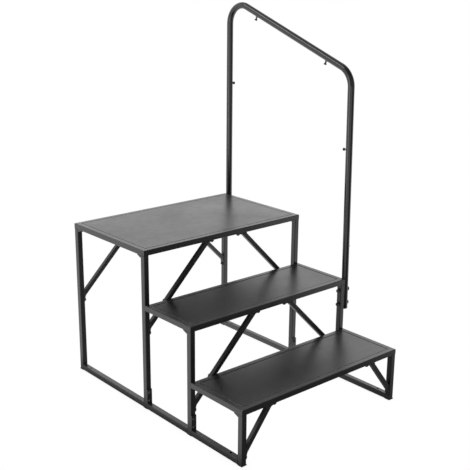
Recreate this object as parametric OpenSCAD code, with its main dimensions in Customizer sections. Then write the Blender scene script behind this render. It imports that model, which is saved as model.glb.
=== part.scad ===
// Three-step mounting block with a one-sided handrail, in millimetres.
// +Z is up, -Y is the front that the rider climbs from, +X is the handrail side.
// The origin is on the floor, at the centre of the rectangle of ground-anchor holes.

/* [Steps] */
// Width of the frame across the steps
frame_w = 730; // [640:1:840]
// Height of each rise, floor to bottom tread and tread to tread
rise = 195; // [185:1:230]
// Depth of the bottom tread, front to back
bottom_depth = 255; // [230:1:320]
// Depth of the middle tread
middle_depth = 250; // [230:1:320]
// Depth of the standing platform on top
top_depth = 440; // [360:1:560]

/* [Frame tubes] */
// Outer width of the square frame tube
tube = 20; // [20:1:24]
// Wall thickness of the frame tube
wall = 1.5; // [1.2:0.1:2]
// Corner radius of the frame tube
tube_r = 2; // [2:0.1:2.6]
// Outer width of the square brace tube
brace_tube = 16; // [13:1:16]
// Wall thickness of the brace tube
brace_wall = 1.2; // [1:0.1:1.4]

/* [Decks] */
// Sheet thickness of the folded deck pans
deck_sheet = 1.5; // [1.2:0.1:2]
// Depth of the folded flange round each deck pan
deck_flange = 14; // [12:0.5:16]
// Outer bend radius along the deck pan's edges
deck_bend_r = 2.4; // [2.2:0.1:3]
// How far the lower two decks sit below their rims
step_recess = 0.6; // [0:0.1:1]

/* [Braces] */
// Reach of the long braces along the rim, from the leg's inner face
long_reach = 261; // [230:1:280]
// Reach of the short braces under the bottom tread
short_reach = 102; // [90:1:115]
// Drop of the long braces' feet below the rim
long_drop = 261; // [240:1:280]
// Drop of the short braces' feet below the bottom rim
short_drop = 130; // [110:1:135]
// Thickness of the braces' end tabs
tab_t = 4; // [3:0.5:5]
// Distance from a brace's axis to the bolt, along the tab
tab_bolt = 22; // [21:1:24]

/* [Handrail] */
// Outer diameter of the handrail tube
rail_d = 25; // [22:0.5:28]
// Wall thickness of the handrail tube
rail_wall = 1.5; // [1.2:0.1:2]
// Height where the sloped rail's axis would meet the rear post's
rail_rear_z = 1384; // [1300:1:1450]
// Radius of the rail's two bends, on the tube's axis
rail_bend_r = 74; // [60:1:85]
// How far the posts run down below the tread they stand beside
post_drop = 120; // [110:1:140]

/* [Fixings] */
// Thread diameter of the frame bolts, in the plates, brackets and brace tabs
bolt_d = 8; // [6:1:8]
// Thread diameter of the bolts that tie the braces to the rims they cross
tie_bolt_d = 6; // [5:0.5:6]
// Thread diameter of the handrail bolts
rail_bolt_d = 8; // [6:1:8]
// Diameter of the ground-anchor holes in the base rails
anchor_d = 8; // [6:0.5:9]
// Distance from the anchor holes to the front and rear ends of the frame
anchor_inset = 63; // [50:1:90]
// Height of the plates that bolt one step's base to the next
foot_plate_h = 75; // [70:1:90]
// Thickness of those plates
foot_plate_t = 4; // [3:0.5:5]

/* [Hidden] */
$fn = 48;
clearance = 0.25;
depths = [bottom_depth, middle_depth, top_depth];
BOTTOM = 0;
MIDDLE = 1;
TOP = 2;
LEFT = -1;
RIGHT = 1;
frame_d = bottom_depth + middle_depth + top_depth;
half_w = frame_w / 2;
inner_x = half_w - tube;
leg_x = half_w - tube / 2;
y_front = -frame_d / 2;
rear_leg_y = frame_d / 2 - tube / 2;
cap_t = 2;
foot_t = 3;
foot_lip = 1;
plug_h = 12;
plug_w = tube - 2 * wall;
bracket_t = 2.5;
bracket_len = 20;
bracket_drop = 9;
bracket_web_t = 2;
bracket_bolt_share = 0.7;
hole_r = bolt_d / 2 + clearance;
head_r = 0.85 * bolt_d;
head_h = 0.65 * bolt_d;
nut_af = 1.625 * bolt_d;
nut_h = 0.8 * bolt_d;
tie_hole_r = tie_bolt_d / 2 + clearance;
tie_head_r = 0.9 * tie_bolt_d;
tie_head_h = 0.6 * tie_bolt_d;
tie_nut_af = 5 / 3 * tie_bolt_d;
tie_nut_h = 0.8 * tie_bolt_d;
rail_hole_r = rail_bolt_d / 2 + clearance;
rail_head_r = 7.5;
rail_head_h = 5;
washer_r = 9;
washer_t = 1.6;
rail_nut_h = 6.5;
rail_x = half_w + rail_d / 2;
rear_post_y = rear_leg_y;
front_post_y = step_y(MIDDLE) + tube / 2;
rear_post_z = rise * 3 - post_drop;
front_post_z = rise * 2 - post_drop;
rail_cap_t = 4;
post_bolt_drops = [44, 97];
front_seam_up = 229;
seam_screw_up = 12;
sleeve_half = 35;
rail_r = rail_d / 2;
bore_r = rail_r - rail_wall;
// Sines and cosines of the slope and the front bend, as six-figure decimals so that arcs and straights meet
slope_sin = 0.34228;
slope_cos = 0.939598;
turn_sin = 0.933781;
turn_cos = 0.357845;
slope = atan2(slope_sin, slope_cos);
front_turn = atan2(turn_sin, turn_cos);
rear_turn = 90 + slope;
// The front post leans back by what the two bends leave over
rail_lean = 90 - slope - front_turn;
rear_tangent = rail_bend_r * tan(rear_turn / 2);
front_tangent = rail_bend_r * tan(front_turn / 2);
// Distances between the front post's lower end and the corners where the rail's axes meet
post_gap = rear_post_y - front_post_y;
corner_rise = rail_rear_z - front_post_z;
front_len = (corner_rise * cos(slope) - post_gap * sin(slope)) / sin(front_turn);
slope_len = post_gap * cos(slope) + corner_rise * sin(slope) - front_len * cos(front_turn);
knob_r = 3;
knob_head_r = 5.5;
knob_len = 11;
knob_head_h = 4.5;
knob_to_seam = 15;
rear_knob_down = 337;
front_knob_down = 274;
rear_knob_along = 172;
front_knob_along = 128;
foot_bolt_zs = [33, 63];
tie_rise = long_drop - rise + tube / 2;
tie_spacer_t = (tube - brace_tube) / 2;
stiffener_w = 40;
stiffener_h = 12;
stiffener_t = 1.5;

// Front face of a step's rim, 0 being the bottom step
function step_y(step) = y_front + (step > BOTTOM ? bottom_depth : 0) + (step > MIDDLE ? middle_depth : 0);
// Back face of a step's rim
function step_back(step) = step_y(step) + depths[step];
// Height of a step's tread
function step_z(step) = rise * (step + 1);
// Centre line, front to back, of a step's front legs
function leg_y(step) = step_y(step) + tube / 2;
// Centre, from the middle plane, of the bolt in a long or short brace's upper tab
function rim_bolt_x(reach) = inner_x - reach - tab_bolt;
// Distance from the middle plane at which a long brace crosses the rim one step down
function tie_x() = inner_x - long_reach * tie_rise / long_drop;

// ---------- shared shapes ----------

// Square outline with rounded corners, centred
module rounded_square(w, r) {
    square([w, w - 2 * r], center = true);
    square([w - 2 * r, w], center = true);
    for (x = [-1, 1], y = [-1, 1])
        translate([x * (w / 2 - r), y * (w / 2 - r)])
            circle(r);
}

// Wall of a square tube in section
module tube_section(w, t, r) {
    difference() {
        rounded_square(w, r);
        rounded_square(w - 2 * t, max(r - t, 0.4));
    }
}

// Frame tube standing on z0, centred at x, y
module upright(x, y, z0, z1) {
    translate([x, y, z0])
        linear_extrude(z1 - z0)
            tube_section(tube, wall, tube_r);
}

// Frame tube running along X
module tube_along_x(x0, x1, y, z) {
    translate([x0, y, z])
        rotate([90, 0, 90])
            linear_extrude(x1 - x0)
                tube_section(tube, wall, tube_r);
}

// Frame tube running along Y
module tube_along_y(y0, y1, x, z) {
    translate([x, y0, z])
        rotate([-90, 0, 0])
            linear_extrude(y1 - y0)
                tube_section(tube, wall, tube_r);
}

// Turns +Z onto a named direction
module aim(direction) {
    if (direction == "+x") rotate([0, 90, 0]) children();
    if (direction == "-x") rotate([0, -90, 0]) children();
    if (direction == "+y") rotate([-90, 0, 0]) children();
    if (direction == "-y") rotate([90, 0, 0]) children();
    if (direction == "+z") children();
    if (direction == "-z") rotate([180, 0, 0]) children();
}

// Low domed head on a shank that points down, with a hex socket
module dome_bolt(shank_r, shank_len, cap_r, cap_h) {
    dome_r = (cap_r * cap_r + cap_h * cap_h) / (2 * cap_h);
    translate([0, 0, -shank_len])
        cylinder(r = shank_r, h = shank_len + cap_h / 2);
    difference() {
        intersection() {
            cylinder(r = cap_r, h = cap_h);
            translate([0, 0, cap_h - dome_r + 0.15 * cap_h])
                sphere(dome_r);
        }
        translate([0, 0, 0.55 * cap_h])
            cylinder(r = 0.72 * shank_r, h = cap_h, $fn = 6);
    }
}

// Hex nut whose base is at z = 0
module hex_nut(af, h, bore_r) {
    difference() {
        cylinder(r = af / sqrt(3), h = h, $fn = 6);
        translate([0, 0, -1])
            cylinder(r = bore_r, h = h + 2);
    }
}

// ---------- decks ----------

// Edge-rounded outline of a pan, w wide and h deep, its top at y = 0
module pan_outline(w, h, r) {
    translate([-w / 2, -h])
        square([w, h - r]);
    translate([-w / 2 + r, -h])
        square([w - 2 * r, h]);
    for (side = [-1, 1])
        translate([side * (w / 2 - r), -r])
            circle(r);
}

// Block with its four upper edges rounded, its top face at z = 0
module soft_block(w, d, h, r) {
    intersection() {
        rotate([90, 0, 0])
            linear_extrude(d, center = true)
                pan_outline(w, h, r);
        rotate([90, 0, 90])
            linear_extrude(w, center = true)
                pan_outline(d, h, r);
    }
}

// Folded sheet deck inside a step's rim, its rear flange drilled where tie bolts pass
module deck(step, recess, tied) {
    w = frame_w - 2 * tube;
    d = depths[step] - 2 * tube;
    difference() {
        translate([0, step_y(step) + depths[step] / 2, step_z(step) - recess])
            difference() {
                soft_block(w, d, deck_flange, deck_bend_r);
                translate([0, 0, -deck_sheet])
                    soft_block(w - 2 * deck_sheet, d - 2 * deck_sheet, deck_flange, deck_bend_r - deck_sheet);
            }
        if (tied)
            for (side = [LEFT, RIGHT])
                translate([side * tie_x(), step_back(step) - tube + 1, step_z(step) - tube / 2])
                    aim("-y") cylinder(r = tie_hole_r, h = deck_sheet + 2);
    }
}

// Hat-section stiffener across the underside of a deck
module stiffener(step, y, recess) {
    span = frame_w - 2 * tube - 2 * deck_bend_r;
    foot_w = 12;
    translate([0, y, step_z(step) - recess - deck_sheet])
        rotate([90, 0, 90])
            linear_extrude(span, center = true) {
                for (side = [-1, 1]) {
                    translate([side * (stiffener_w / 2 - stiffener_t / 2), -stiffener_h / 2])
                        square([stiffener_t, stiffener_h], center = true);
                    translate([side * (stiffener_w / 2 + foot_w / 2 - stiffener_t), -stiffener_t / 2])
                        square([foot_w, stiffener_t], center = true);
                }
                translate([0, -stiffener_h + stiffener_t / 2])
                    square([stiffener_w, stiffener_t], center = true);
            }
}

// ---------- rims ----------

// Plan outline of a front or rear rim tube with its mitred ends
module long_mitre() {
    polygon([[-half_w, 0], [half_w, 0], [inner_x, tube], [-inner_x, tube]]);
}

// Front rim tube of a step, drilled for its braces
module rim_front(step, reach) {
    difference() {
        intersection() {
            tube_along_x(-half_w, half_w, leg_y(step), step_z(step) - tube / 2);
            translate([0, step_y(step), step_z(step) - tube])
                linear_extrude(tube)
                    long_mitre();
        }
        for (side = [LEFT, RIGHT])
            translate([side * rim_bolt_x(reach), leg_y(step), step_z(step) - tube - wall])
                cylinder(r = hole_r, h = 3 * wall);
    }
}

// Rear rim tube of a step, mitred, without its holes
module rim_rear_blank(step) {
    intersection() {
        tube_along_x(-half_w, half_w, step_back(step) - tube / 2, step_z(step) - tube / 2);
        translate([0, step_back(step), step_z(step) - tube])
            mirror([0, 1, 0])
                linear_extrude(tube)
                    long_mitre();
    }
}

// Rear rim tube of the top step, drilled for the rear braces
module rim_rear_top() {
    difference() {
        rim_rear_blank(TOP);
        for (side = [LEFT, RIGHT])
            translate([side * rim_bolt_x(long_reach), rear_leg_y, step_z(TOP) - tube - wall])
                cylinder(r = hole_r, h = 3 * wall);
    }
}

// Rear rim tube of a lower step, drilled through for the tie bolts
module rim_rear_tied(step) {
    difference() {
        rim_rear_blank(step);
        for (side = [LEFT, RIGHT])
            translate([side * tie_x(), step_back(step) + 1, step_z(step) - tube / 2])
                aim("-y") cylinder(r = tie_hole_r, h = tube + 2);
    }
}

// Side rim tube of a step, mitred and drilled for the leg brackets
module rim_side(step, side, bracket_ys) {
    d = depths[step];
    difference() {
        intersection() {
            tube_along_y(step_y(step), step_back(step), side * leg_x, step_z(step) - tube / 2);
            translate([side * half_w, step_y(step), step_z(step) - tube])
                mirror([side > 0 ? 1 : 0, 0, 0])
                    linear_extrude(tube)
                        polygon([[0, 0], [tube, tube], [tube, d - tube], [0, d]]);
        }
        for (y = bracket_ys)
            translate([side * leg_x, y, step_z(step) - tube - wall])
                cylinder(r = hole_r, h = 3 * wall);
    }
}

// Distance of a bracket's bolt from the leg's face
function bracket_bolt_in() = bracket_len * bracket_bolt_share;
// Bolt positions, front to back, of the brackets under a step's side rims
function bracket_bolt_ys(step) =
    step == TOP
        ? [step_y(TOP) + tube + bracket_bolt_in(), step_back(TOP) - tube - bracket_bolt_in()]
        : [step_y(step) + tube + bracket_bolt_in()];

// ---------- legs and base ----------

// Leg with its wall drilled for a brace foot, and for foot-plate bolts where it has them
module leg(side, y, top_z, brace_z, plate_bolts, rail_bolt_zs) {
    difference() {
        upright(side * leg_x, y, foot_t, top_z - tube - cap_t);
        translate([side * (inner_x - wall), y, brace_z])
            aim(side > 0 ? "+x" : "-x") cylinder(r = hole_r, h = 3 * wall);
        if (plate_bolts)
            for (z = foot_bolt_zs)
                translate([side * leg_x, y - tube / 2 - wall, z])
                    aim("+y") cylinder(r = hole_r, h = 3 * wall);
        for (z = rail_bolt_zs)
            translate([inner_x - 1, y, z])
                aim("+x") cylinder(r = rail_hole_r, h = tube + 2);
    }
}

// Base rail on the floor between two legs, with its anchor hole where it has one
module base_rail(side, y0, y1, anchor_y) {
    difference() {
        tube_along_y(y0, y1, side * leg_x, tube / 2);
        if (anchor_y > y0 && anchor_y < y1)
            translate([side * leg_x, anchor_y, -1])
                cylinder(d = anchor_d, h = tube + 2);
    }
}

// Base rail of a lower step: from its own leg back to the foot plate of the next
module lower_base_rail(step, side) {
    base_rail(side, step_y(step) + tube, step_y(step + 1) - foot_plate_t, y_front + anchor_inset);
}

// Plate that bolts a step's base rail to the leg behind it
module foot_plate(step, side) {
    translate([side * leg_x, step_y(step), 0])
        difference() {
            translate([-tube / 2, -foot_plate_t, 0])
                cube([tube, foot_plate_t, foot_plate_h]);
            for (z = foot_bolt_zs)
                translate([0, 1, z])
                    aim("-y") cylinder(r = hole_r, h = foot_plate_t + 2);
        }
}

// ---------- braces ----------

// Tab with a round end and a bolt hole, flat on z = 0, running from -back to the hole at x = reach
module tab(back, reach) {
    linear_extrude(tab_t)
        difference() {
            union() {
                translate([-back, -brace_tube / 2])
                    square([back + reach, brace_tube]);
                translate([reach, 0])
                    circle(d = brace_tube);
            }
            translate([reach, 0])
                circle(hole_r);
        }
}

// Diagonal brace from a leg up to the rim above it, with its two end tabs
module brace(side, y, rim_z, reach, drop, tied) {
    angle = atan2(reach, drop);
    run = sqrt(reach * reach + drop * drop);
    spare = 30;
    leg_back = brace_tube / 2 / sin(angle) + 2;
    rim_back = brace_tube / 2 / cos(angle) + 2;
    translate([side * inner_x, y, rim_z - drop])
        rotate([0, 0, side > 0 ? 180 : 0])
            difference() {
                union() {
                    intersection() {
                        rotate([0, angle, 0])
                            translate([0, 0, -spare])
                                linear_extrude(run + 2 * spare)
                                    tube_section(brace_tube, brace_wall, 1.8);
                        translate([tab_t / 2, -brace_tube, -spare])
                            cube([reach + spare, 2 * brace_tube, drop + spare - tab_t / 2]);
                    }
                    aim("+x") tab(leg_back, tab_bolt);
                    translate([reach, 0, drop])
                        rotate([180, 0, 0]) tab(rim_back, tab_bolt);
                }
                if (tied)
                    translate([reach * tie_rise / drop, -brace_tube, tie_rise])
                        aim("+y") cylinder(r = tie_hole_r, h = 2 * brace_tube);
            }
}

// ---------- small frame parts ----------

// Angle bracket under the rim behind a leg, with a triangular web; dir is +1 towards the rear
module leg_bracket(side, leg_face_y, rim_z, dir) {
    translate([side * leg_x, leg_face_y, rim_z - tube])
        mirror([0, dir < 0 ? 1 : 0, 0])
            difference() {
                union() {
                    translate([-tube / 2 + 1, 0, -bracket_t])
                        cube([tube - 2, bracket_len, bracket_t]);
                    translate([-tube / 2 + 1, 0, -bracket_drop])
                        cube([tube - 2, bracket_t, bracket_drop]);
                    for (edge = [-1, 1])
                        translate([edge * (tube / 2 - 1 - bracket_web_t / 2), 0, 0])
                            rotate([90, 0, 90])
                                linear_extrude(bracket_web_t, center = true)
                                    polygon([
                                        [0, 0], [bracket_len, 0], [bracket_len, -bracket_t],
                                        [bracket_t, -bracket_drop], [0, -bracket_drop]
                                    ]);
                }
                translate([0, bracket_len * bracket_bolt_share, -bracket_t - 1])
                    cylinder(r = hole_r, h = bracket_t + 2);
            }
}

// Plastic plug in the top of a leg, under the rim
module leg_cap(x, y, rim_z) {
    translate([x, y, rim_z - tube - cap_t]) {
        linear_extrude(cap_t)
            rounded_square(tube, tube_r);
        translate([0, 0, -plug_h])
            linear_extrude(plug_h)
                tube_section(plug_w, 2, 0.5);
    }
}

// Plastic foot in the bottom of a leg; front and rear say which ends carry the lip
module foot_cap(x, y, front, rear) {
    lip_y0 = -tube / 2 - (front ? foot_lip : 0);
    lip_y1 = tube / 2 + (rear ? foot_lip : 0);
    translate([x, y, 0]) {
        translate([-tube / 2 - foot_lip, lip_y0, 0])
            cube([tube + 2 * foot_lip, lip_y1 - lip_y0, foot_t]);
        translate([0, 0, foot_t])
            linear_extrude(plug_h)
                tube_section(plug_w, 2, 0.5);
    }
}

// ---------- handrail ----------

// Torus sector in the Y-Z plane about the origin, from the +Y axis round by the turn
module bend_rod(r, turn) {
    reach = 2 * (rail_bend_r + r);
    intersection() {
        rotate([0, 90, 0])
            rotate_extrude()
                translate([rail_bend_r, 0])
                    circle(r);
        translate([-reach / 2, -reach, 0])
            cube([reach, 2 * reach, reach]);
        rotate([turn, 0, 0])
            translate([-reach / 2, -reach, -reach])
                cube([reach, 2 * reach, reach]);
    }
}

// Bent rod about its bend's centre: up a straight lead, round the bend, then along a straight tail
module bent_rod(r, turn, lead, tail) {
    translate([0, rail_bend_r, -lead])
        rotate([0, 0, 90])
            cylinder(r = r, h = lead);
    bend_rod(r, turn);
    rotate([turn, 0, 0])
        translate([0, rail_bend_r, 0])
            rotate([0, 0, 90])
                cylinder(r = r, h = tail);
}

// Bent tube, open at both ends
module bent_tube(turn, lead, tail) {
    difference() {
        bent_rod(rail_r, turn, lead, tail);
        bent_rod(bore_r, turn, lead + 1, tail + 1);
    }
}

// Places what lies along the rear post's axis, at a distance below the rail's rear corner
module below_rear_corner(down) {
    translate([rail_x, rear_post_y, rail_rear_z - down])
        children();
}

// Places what lies along the front post's leaning axis, at a distance up from its lower end
module up_front_post(up) {
    translate([rail_x, front_post_y, front_post_z])
        rotate([-rail_lean, 0, 0])
            translate([0, 0, up])
                children();
}

// Places what lies along the front post's axis, at a distance below the rail's front corner
module below_front_corner(down) {
    up_front_post(front_len - down)
        children();
}

// Places what lies along the sloped rail, +Z pointing down the slope, at a distance from the rear corner
module along_slope(from_rear) {
    translate([rail_x, rear_post_y, rail_rear_z])
        rotate([rear_turn, 0, 0])
            translate([0, 0, from_rear])
                children();
}

// Places a knob or its hole: +Z leaves the tube's axis into the loop
module at_knobs() {
    below_rear_corner(rear_knob_down) aim("-y") children();
    below_front_corner(front_knob_down) aim("+y") children();
    for (from_rear = [rear_knob_along, slope_len - front_knob_along])
        along_slope(from_rear) aim("-y") children();
}

// Places a sleeve at every seam between two lengths of the rail, its middle on the seam
module at_seams() {
    below_rear_corner(rear_knob_down + knob_to_seam) children();
    below_front_corner(front_knob_down + knob_to_seam) children();
    up_front_post(front_seam_up) children();
    for (from_rear = [rear_knob_along + knob_to_seam, slope_len - front_knob_along - knob_to_seam])
        along_slope(from_rear) children();
}

// Places the screw above the front post's lower seam, pointing out of the outer side
module at_seam_screw() {
    up_front_post(front_seam_up + seam_screw_up)
        aim("+x") children();
}

// Places a bolt at each hole through a post and its leg, pointing out of the outer side
module at_post_bolts(post_y, tread_z) {
    for (drop = post_bolt_drops)
        translate([half_w, post_y, tread_z - drop])
            aim("+x") children();
}

// Straight length of rail tube standing on the origin
module rail_length(h) {
    difference() {
        cylinder(r = rail_r, h = h);
        translate([0, 0, -1])
            cylinder(r = bore_r, h = h + 2);
    }
}

// Holes through a post for the bolts to its leg
module post_bolt_holes(post_y, tread_z) {
    at_post_bolts(post_y, tread_z)
        translate([0, 0, -1]) cylinder(r = rail_hole_r, h = rail_d + 2);
}

// ---------- one module per node ----------

module bottom_deck() { color("#26272a") deck(BOTTOM, step_recess, true); }
module middle_deck() { color("#26272a") deck(MIDDLE, step_recess, true); }
module top_deck() { color("#2b2c2f") deck(TOP, 0, false); }

module deck_stiffeners() {
    color("#1b1b1d") {
        stiffener(BOTTOM, step_y(BOTTOM) + bottom_depth / 2, step_recess);
        stiffener(MIDDLE, step_y(MIDDLE) + middle_depth / 2, step_recess);
        for (share = [1 / 3, 2 / 3])
            stiffener(TOP, step_y(TOP) + top_depth * share, 0);
    }
}

module bottom_rim_front() { color("#202124") rim_front(BOTTOM, short_reach); }
module bottom_rim_rear() { color("#202124") rim_rear_tied(BOTTOM); }
module bottom_rim_left() { color("#202124") rim_side(BOTTOM, LEFT, bracket_bolt_ys(BOTTOM)); }
module bottom_rim_right() { color("#202124") rim_side(BOTTOM, RIGHT, bracket_bolt_ys(BOTTOM)); }
module middle_rim_front() { color("#202124") rim_front(MIDDLE, long_reach); }
module middle_rim_rear() { color("#202124") rim_rear_tied(MIDDLE); }
module middle_rim_left() { color("#202124") rim_side(MIDDLE, LEFT, bracket_bolt_ys(MIDDLE)); }
module middle_rim_right() { color("#202124") rim_side(MIDDLE, RIGHT, bracket_bolt_ys(MIDDLE)); }
module top_rim_front() { color("#202124") rim_front(TOP, long_reach); }
module top_rim_rear() { color("#202124") rim_rear_top(); }
module top_rim_left() { color("#202124") rim_side(TOP, LEFT, bracket_bolt_ys(TOP)); }
module top_rim_right() { color("#202124") rim_side(TOP, RIGHT, bracket_bolt_ys(TOP)); }

// Height of the brace foot's bolt on a leg whose rim is at rim_z
function foot_bolt_z(rim_z, drop) = rim_z - tube - drop - tab_bolt;
// Heights of the handrail bolts beside a tread
function post_bolt_zs(tread_z) = [for (drop = post_bolt_drops) tread_z - drop];

module bottom_leg(side) {
    leg(side, leg_y(BOTTOM), step_z(BOTTOM), foot_bolt_z(step_z(BOTTOM), short_drop), false, []);
}

module middle_leg(side) {
    leg(side, leg_y(MIDDLE), step_z(MIDDLE), foot_bolt_z(step_z(MIDDLE), long_drop), true,
        side > 0 ? post_bolt_zs(step_z(MIDDLE)) : []);
}

module top_leg(side) {
    leg(side, leg_y(TOP), step_z(TOP), foot_bolt_z(step_z(TOP), long_drop), true, []);
}

module rear_leg(side) {
    leg(side, rear_leg_y, step_z(TOP), foot_bolt_z(step_z(TOP), long_drop), false,
        side > 0 ? post_bolt_zs(step_z(TOP)) : []);
}

module bottom_leg_left() { color("#202124") bottom_leg(LEFT); }
module bottom_leg_right() { color("#202124") bottom_leg(RIGHT); }
module middle_leg_left() { color("#202124") middle_leg(LEFT); }
module middle_leg_right() { color("#202124") middle_leg(RIGHT); }
module top_leg_left() { color("#202124") top_leg(LEFT); }
module top_leg_right() { color("#202124") top_leg(RIGHT); }
module rear_leg_left() { color("#202124") rear_leg(LEFT); }
module rear_leg_right() { color("#202124") rear_leg(RIGHT); }

// Base rail under the platform, from the top step's front leg to the rear leg
module top_base(side) {
    base_rail(side, step_y(TOP) + tube, step_back(TOP) - tube, -y_front - anchor_inset);
}

module bottom_base_left() { color("#202124") lower_base_rail(BOTTOM, LEFT); }
module bottom_base_right() { color("#202124") lower_base_rail(BOTTOM, RIGHT); }
module middle_base_left() { color("#202124") lower_base_rail(MIDDLE, LEFT); }
module middle_base_right() { color("#202124") lower_base_rail(MIDDLE, RIGHT); }
module top_base_left() { color("#202124") top_base(LEFT); }
module top_base_right() { color("#202124") top_base(RIGHT); }

// Long brace under the rim at height tread_z
module long_brace(side, y, tread_z, tied) {
    brace(side, y, tread_z - tube, long_reach, long_drop, tied);
}

module bottom_brace(side) {
    brace(side, leg_y(BOTTOM), step_z(BOTTOM) - tube, short_reach, short_drop, false);
}

module bottom_brace_left() { color("#18181a") bottom_brace(LEFT); }
module bottom_brace_right() { color("#18181a") bottom_brace(RIGHT); }
module middle_brace_left() { color("#18181a") long_brace(LEFT, leg_y(MIDDLE), step_z(MIDDLE), true); }
module middle_brace_right() { color("#18181a") long_brace(RIGHT, leg_y(MIDDLE), step_z(MIDDLE), true); }
module top_brace_left() { color("#18181a") long_brace(LEFT, leg_y(TOP), step_z(TOP), true); }
module top_brace_right() { color("#18181a") long_brace(RIGHT, leg_y(TOP), step_z(TOP), true); }
module rear_brace_left() { color("#18181a") long_brace(LEFT, rear_leg_y, step_z(TOP), false); }
module rear_brace_right() { color("#18181a") long_brace(RIGHT, rear_leg_y, step_z(TOP), false); }

module foot_plates() {
    color("#202124")
        for (side = [LEFT, RIGHT], step = [MIDDLE, TOP])
            foot_plate(step, side);
}

module leg_brackets() {
    color("#18181a")
        for (side = [LEFT, RIGHT]) {
            for (step = [BOTTOM, MIDDLE, TOP])
                leg_bracket(side, step_y(step) + tube, step_z(step), 1);
            leg_bracket(side, step_back(TOP) - tube, step_z(TOP), -1);
        }
}

module leg_caps() {
    color("#0e0e0f")
        for (side = [LEFT, RIGHT]) {
            for (step = [BOTTOM, MIDDLE, TOP])
                leg_cap(side * leg_x, leg_y(step), step_z(step));
            leg_cap(side * leg_x, rear_leg_y, step_z(TOP));
        }
}

module foot_caps() {
    color("#0e0e0f")
        for (side = [LEFT, RIGHT]) {
            for (step = [BOTTOM, MIDDLE, TOP])
                foot_cap(side * leg_x, leg_y(step), step == BOTTOM, false);
            foot_cap(side * leg_x, rear_leg_y, false, true);
        }
}

module rear_post() {
    lower_end = rear_post_z + rail_cap_t;
    color("#202124")
        difference() {
            translate([rail_x, rear_post_y, lower_end])
                rail_length(rail_rear_z - rear_knob_down - knob_to_seam - lower_end);
            post_bolt_holes(rear_post_y, step_z(TOP));
        }
}

module front_post() {
    color("#202124")
        difference() {
            up_front_post(rail_cap_t) rail_length(front_seam_up - rail_cap_t);
            post_bolt_holes(front_post_y, step_z(MIDDLE));
        }
}

module front_tube() {
    color("#202124")
        difference() {
            up_front_post(front_seam_up)
                rail_length(front_len - front_knob_down - knob_to_seam - front_seam_up);
            at_seam_screw() cylinder(r = tie_hole_r, h = rail_d);
        }
}

module rail_rear_bend() {
    color("#202124")
        difference() {
            below_rear_corner(rear_tangent)
                translate([0, -rail_bend_r, 0])
                    bent_tube(rear_turn, rear_knob_down + knob_to_seam - rear_tangent,
                              rear_knob_along + knob_to_seam - rear_tangent);
            at_knobs() cylinder(r = knob_r, h = rail_d);
        }
}

module rail_front_bend() {
    color("#202124")
        difference() {
            along_slope(slope_len - front_tangent)
                translate([0, -rail_bend_r, 0])
                    bent_tube(front_turn, front_knob_along + knob_to_seam - front_tangent,
                              front_knob_down + knob_to_seam - front_tangent);
            at_knobs() cylinder(r = knob_r, h = rail_d);
        }
}

module rail_slope() {
    seam = rear_knob_along + knob_to_seam;
    color("#202124")
        along_slope(seam)
            difference() {
                cylinder(r = rail_r, h = slope_len - seam - front_knob_along - knob_to_seam);
                translate([0, 0, -1])
                    cylinder(r = bore_r, h = slope_len);
            }
}

// Sleeves inside the tube across each seam
module rail_sleeves() {
    color("#3a3a3c")
        difference() {
            at_seams()
                translate([0, 0, -sleeve_half])
                    difference() {
                        cylinder(r = bore_r, h = 2 * sleeve_half);
                        translate([0, 0, -1])
                            cylinder(r = bore_r - rail_wall, h = 2 * sleeve_half + 2);
                    }
            at_seam_screw() cylinder(r = tie_hole_r, h = rail_d);
            at_knobs() cylinder(r = knob_r, h = rail_d);
        }
}

// Places a cap at the lower end of each post
module at_post_ends() {
    translate([rail_x, rear_post_y, rear_post_z]) children();
    up_front_post(0) children();
}

module rail_end_caps() {
    edge = 1.5;
    color("#0e0e0f")
        at_post_ends() {
            cylinder(r1 = rail_r - edge, r2 = rail_r, h = edge);
            translate([0, 0, edge])
                cylinder(r = rail_r, h = rail_cap_t - edge);
            translate([0, 0, rail_cap_t])
                difference() {
                    cylinder(r = bore_r, h = plug_h / 2);
                    cylinder(r = bore_r - 2, h = plug_h);
                }
        }
}

// Thumb screws through the bent tubes into the sleeves, their heads inside the loop
module rail_knobs() {
    tip = bore_r - rail_wall - 1;
    collar_h = 1.5;
    color("#18181a")
        at_knobs() {
            translate([0, 0, tip])
                cylinder(r = knob_r, h = rail_r - tip + knob_len + 1);
            translate([0, 0, rail_r])
                cylinder(r = knob_r + 1.5, h = collar_h);
            translate([0, 0, rail_r + knob_len])
                intersection() {
                    cylinder(r = knob_head_r, h = knob_head_h);
                    translate([0, 0, knob_head_h - 2 * knob_head_r])
                        sphere(2 * knob_head_r + 0.3);
                }
        }
}

// Places a bolt at each of the four handrail fixings
module at_rail_bolts() {
    at_post_bolts(rear_post_y, step_z(TOP)) children();
    at_post_bolts(front_post_y, step_z(MIDDLE)) children();
}

module rail_bolts() {
    head_at = rail_d + washer_t;
    color("#0e0e0f")
        at_rail_bolts()
            translate([0, 0, head_at])
                dome_bolt(rail_bolt_d / 2, head_at + tube + rail_nut_h + washer_t + 2, rail_head_r, rail_head_h);
}

// Washers under the heads outside, and under the nuts inside the legs' inner faces
module rail_washers() {
    color("#18181a")
        at_rail_bolts()
            for (base = [rail_d, -tube - washer_t])
                translate([0, 0, base])
                    difference() {
                        cylinder(r = washer_r, h = washer_t);
                        translate([0, 0, -1])
                            cylinder(r = rail_hole_r, h = washer_t + 2);
                    }
}

module rail_nuts() {
    color("#18181a")
        at_rail_bolts()
            translate([0, 0, -tube - washer_t - rail_nut_h])
                hex_nut(13, rail_nut_h, rail_bolt_d / 2);
}

module seam_screw() {
    grip = 2 * rail_wall + 2;
    color("#0e0e0f")
        at_seam_screw()
            translate([0, 0, rail_r])
                dome_bolt(tie_bolt_d / 2, grip, tie_head_r, tie_head_h + 1);
}

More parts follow.
